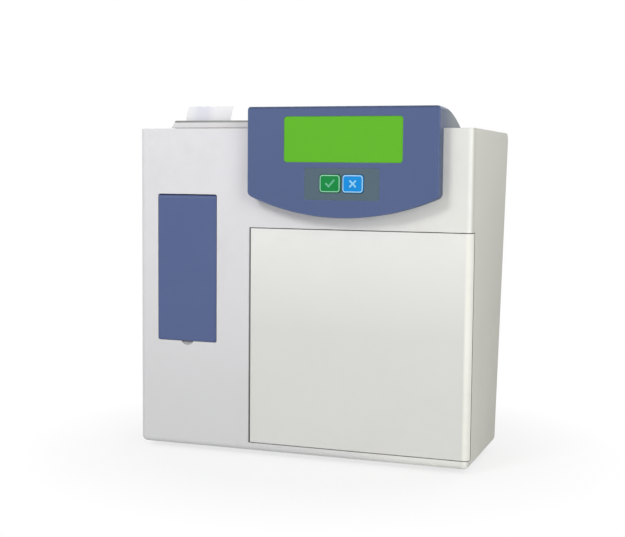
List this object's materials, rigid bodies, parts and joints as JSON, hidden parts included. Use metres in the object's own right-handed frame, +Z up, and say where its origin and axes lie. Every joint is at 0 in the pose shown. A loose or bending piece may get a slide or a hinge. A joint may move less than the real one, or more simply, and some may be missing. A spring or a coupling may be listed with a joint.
{
  "type": "electrolyte analyzer",
  "caption": "Bench-top electrolyte analyzer with a humped display console, sampler flap, fluid bay behind a door and a printer on top.",
  "frame": {"origin": "on the surface under the feet, below the middle of the overall box", "axes": "+X to the instrument's right as seen from the front, +Y to the rear, +Z up"},
  "size_m": [0.35, 0.191, 0.3559],
  "materials": {
    "case_white": "fine moulded texture",
    "console_blue": "smooth satin",
    "flap_blue": "smooth satin",
    "display_green": "clear lens over a green display",
    "overlay_grey": "printed film",
    "key_green": "smooth",
    "key_blue": "smooth",
    "zinc_steel": "zinc plated",
    "panel_paint": "powder coat",
    "screw_steel": "plated",
    "pin_steel": "ground",
    "board_green": "solder mask",
    "black_plastic": "fine texture",
    "liner_grey": "fine texture",
    "module_white": "machined",
    "lever_red": "smooth",
    "electrode_grey": "smooth",
    "electrode_clear": "polished",
    "roller_white": "turned",
    "silicone": "translucent",
    "motor_black": "painted",
    "pack_white": "blown",
    "bezel_grey": "fine texture",
    "lid_grey": "fine texture",
    "aluminium_fin": "extruded",
    "paper": "thermal paper",
    "black_rubber": "moulded"
  },
  "bodies": {
    "case": {"main_cover": "case_white", "base_plate": "zinc_steel", "rear_panel": "panel_paint", "case_screws": "screw_steel", "console_shell": "console_blue", "display_window": "display_green", "display_module": "board_green", "keypad_overlay": "overlay_grey", "keypad_board": "board_green", "front_hinge_pins": "pin_steel", "door_catch": "black_plastic", "bay_liner": "liner_grey", "electrode_carrier": "module_white", "reference_electrode": "electrode_grey", "sodium_electrode": "electrode_clear", "potassium_electrode": "electrode_clear", "chloride_electrode": "electrode_clear", "calcium_electrode": "electrode_clear", "pump_body": "module_white", "pump_tube": "silicone", "pump_motor": "motor_black", "valve_block": "module_white", "valve_solenoids": "zinc_steel", "reagent_pack": "pack_white", "pack_tubes": "silicone", "sample_line": "silicone", "waste_line": "silicone", "sampler_tub": "liner_grey", "probe_shaft": "pin_steel", "main_board": "board_green", "power_supply": "zinc_steel", "power_inlet": "black_plastic", "power_switch": "black_plastic", "serial_port": "zinc_steel", "printer_collar": "case_white", "printer_bezel": "bezel_grey", "printer_well": "liner_grey", "print_head": "aluminium_fin", "paper_roll": "paper", "lid_hinge_pin": "pin_steel", "foot_front_left": "black_rubber", "foot_front_right": "black_rubber", "foot_rear_left": "black_rubber", "foot_rear_right": "black_rubber"},
    "door": {"door_panel": "case_white", "door_strike": "zinc_steel"},
    "flap": {"sampler_flap": "flap_blue"},
    "probe": {"probe_arm": "module_white", "probe_needle": "pin_steel"},
    "yes_button": {"yes_key": "key_green"},
    "no_button": {"no_key": "key_blue"},
    "lid": {"printer_lid": "lid_grey"},
    "platen": {"platen_roller": "black_rubber"},
    "rotor": {"pump_rotor": "black_plastic"},
    "roller_1": {"pump_roller_1": "roller_white"},
    "roller_2": {"pump_roller_2": "roller_white"},
    "roller_3": {"pump_roller_3": "roller_white"},
    "lever": {"latch_lever": "lever_red"},
    "clamp": {"clamp_plate": "module_white"},
    "rocker": {"power_rocker": "black_plastic"}
  },
  "joints": [
    {"name": "door_swing", "type": "hinge", "parent": "case", "child": "door", "pos_m": [0.169, -0.07327, 0.123], "axis": [0, 0, 1], "range_deg": [0, 110]},
    {"name": "flap_lift", "type": "hinge", "parent": "case", "child": "flap", "pos_m": [-0.1213, -0.07527, 0.261], "axis": [-1, 0, 0], "range_deg": [0, 85]},
    {"name": "probe_swing", "type": "hinge", "parent": "case", "child": "probe", "pos_m": [-0.1213, -0.04727, 0.222], "axis": [-1, 0, 0], "range_deg": [0, 42.5]},
    {"name": "yes_press", "type": "slide", "parent": "case", "child": "yes_button", "axis": [0, 1, 0], "range_m": [0, 0.001], "stiffness_N_per_m": 300},
    {"name": "no_press", "type": "slide", "parent": "case", "child": "no_button", "axis": [0, 1, 0], "range_m": [0, 0.001], "stiffness_N_per_m": 300},
    {"name": "lid_open", "type": "hinge", "parent": "case", "child": "lid", "pos_m": [-0.1, 0.01323, 0.334], "axis": [-1, 0, 0], "range_deg": [0, 85]},
    {"name": "platen_spin", "type": "hinge", "parent": "lid", "child": "platen", "pos_m": [-0.107, -0.05307, 0.329], "axis": [1, 0, 0], "continuous": true},
    {"name": "pump_spin", "type": "hinge", "parent": "case", "child": "rotor", "pos_m": [-0.006, -0.015, 0.088], "axis": [0, 1, 0], "continuous": true},
    {"name": "latch_turn", "type": "hinge", "parent": "case", "child": "lever", "pos_m": [0.06606, -0.02, 0.175], "axis": [0, 1, 0], "range_deg": [0, 90]},
    {"name": "clamp_slide", "type": "slide", "parent": "case", "child": "clamp", "axis": [1, 0, 0], "range_m": [0, 0.004]},
    {"name": "rocker_tilt", "type": "hinge", "parent": "case", "child": "rocker", "pos_m": [-0.072, 0.05451, 0.04928], "axis": [1, 0, 0], "range_deg": [0, 12]},
    {"name": "roller_1_spin", "type": "hinge", "parent": "rotor", "child": "roller_1", "pos_m": [-0.006, -0.015, 0.103], "axis": [0, 1, 0], "continuous": true},
    {"name": "roller_2_spin", "type": "hinge", "parent": "rotor", "child": "roller_2", "pos_m": [-0.01899, -0.015, 0.0805], "axis": [0, 1, 0], "continuous": true},
    {"name": "roller_3_spin", "type": "hinge", "parent": "rotor", "child": "roller_3", "pos_m": [0.00699, -0.015, 0.0805], "axis": [0, 1, 0], "continuous": true}
  ],
  "couplings": [
    {"joint": "probe_swing", "follows": "flap_lift", "ratio": 0.5},
    {"joint": "latch_turn", "follows": "clamp_slide", "rad_per_m": 392.7},
    {"joint": "roller_1_spin", "follows": "pump_spin", "ratio": -4},
    {"joint": "roller_2_spin", "follows": "pump_spin", "ratio": -4},
    {"joint": "roller_3_spin", "follows": "pump_spin", "ratio": -4}
  ]
}
